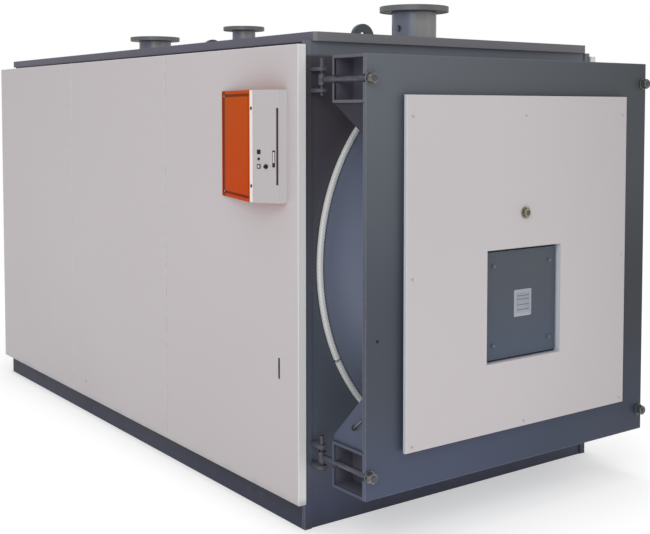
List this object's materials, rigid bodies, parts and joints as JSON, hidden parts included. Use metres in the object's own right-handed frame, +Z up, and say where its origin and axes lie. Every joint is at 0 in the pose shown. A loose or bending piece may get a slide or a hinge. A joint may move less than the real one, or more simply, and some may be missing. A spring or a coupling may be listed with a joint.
{
  "type": "industrial boiler",
  "caption": "Floor-standing three-pass hot-water boiler: pale casing panels on a dark steel base, thick swing door with burner plate, flanged top nozzles and a side control box.",
  "frame": {"origin": "on the ground, on the centre line, under the middle of the base", "axes": "+Z up, +Y from the door to the flue, +X across, to the right as seen from the front"},
  "size_m": [1.989, 4.35, 2.312],
  "materials": {
    "base_paint": "satin dark blue-grey paint on rolled steel",
    "door_paint": "satin blue-grey paint on steel plate",
    "deck_paint": "satin grey paint on folded steel",
    "casing_paint": "light grey powder coat on folded sheet",
    "cover_paint": "light grey powder coat on folded sheet",
    "burner_paint": "satin blue-grey paint on steel plate",
    "orange_paint": "orange powder coat",
    "white_fascia": "white textured plastic",
    "flange_steel": "grey primer on turned steel",
    "bolt_steel": "dull oiled steel",
    "zinc": "zinc plated, slightly yellow",
    "rope": "white woven glass rope",
    "refractory": "cast refractory concrete",
    "boiler_plate": "bare mill-scale steel",
    "brass": "turned brass",
    "lens": "heat-proof glass"
  },
  "bodies": {
    "boiler": {"base_rails": "base_paint", "base_cross_members": "base_paint", "shell_saddles": "base_paint", "front_plate": "door_paint", "hinge_lugs": "door_paint", "deck_rails": "door_paint", "top_deck": "deck_paint", "left_front_panel": "casing_paint", "left_middle_panel": "casing_paint", "left_rear_panel": "casing_paint", "right_front_panel": "casing_paint", "right_middle_panel": "casing_paint", "right_rear_panel": "casing_paint", "rear_panel": "casing_paint", "control_box": "orange_paint", "control_fascia": "white_fascia", "supply_pipe": "flange_steel", "supply_flange": "flange_steel", "safety_pipe": "flange_steel", "safety_flange": "flange_steel", "return_pipe": "flange_steel", "return_flange": "flange_steel", "lifting_lugs": "flange_steel", "smoke_box": "flange_steel", "flue_collar": "flange_steel", "hinge_pins": "bolt_steel", "front_tube_plate": "boiler_plate", "rear_tube_plate": "boiler_plate", "boiler_shell": "boiler_plate", "flame_tube": "boiler_plate", "smoke_tubes": "boiler_plate"},
    "front_door": {"door_plate": "door_paint", "left_door_brackets": "door_paint", "right_door_brackets": "door_paint", "door_collar": "door_paint", "door_refractory": "refractory", "rope_seal": "rope", "door_cover": "cover_paint", "burner_plate": "burner_paint", "sight_glass_fitting": "brass", "sight_glass_lens": "lens", "upper_left_bolt": "bolt_steel", "lower_left_bolt": "bolt_steel", "upper_left_nut": "zinc", "lower_left_nut": "zinc"},
    "upper_swing_bolt": {"upper_right_bolt": "bolt_steel", "upper_right_nut": "zinc"},
    "lower_swing_bolt": {"lower_right_bolt": "bolt_steel", "lower_right_nut": "zinc"}
  },
  "joints": [
    {"name": "front_door_hinge", "type": "hinge", "parent": "boiler", "child": "front_door", "pos_m": [-0.848, -1.8175, 1.135], "axis": [0, 0, -1], "range_deg": [0, 100]},
    {"name": "upper_bolt_swing", "type": "hinge", "parent": "boiler", "child": "upper_swing_bolt", "pos_m": [0.848, -1.8175, 1.9325], "axis": [0, 0, 1], "range_deg": [0, 100]},
    {"name": "lower_bolt_swing", "type": "hinge", "parent": "boiler", "child": "lower_swing_bolt", "pos_m": [0.848, -1.8175, 0.3275], "axis": [0, 0, 1], "range_deg": [0, 100]}
  ]
}
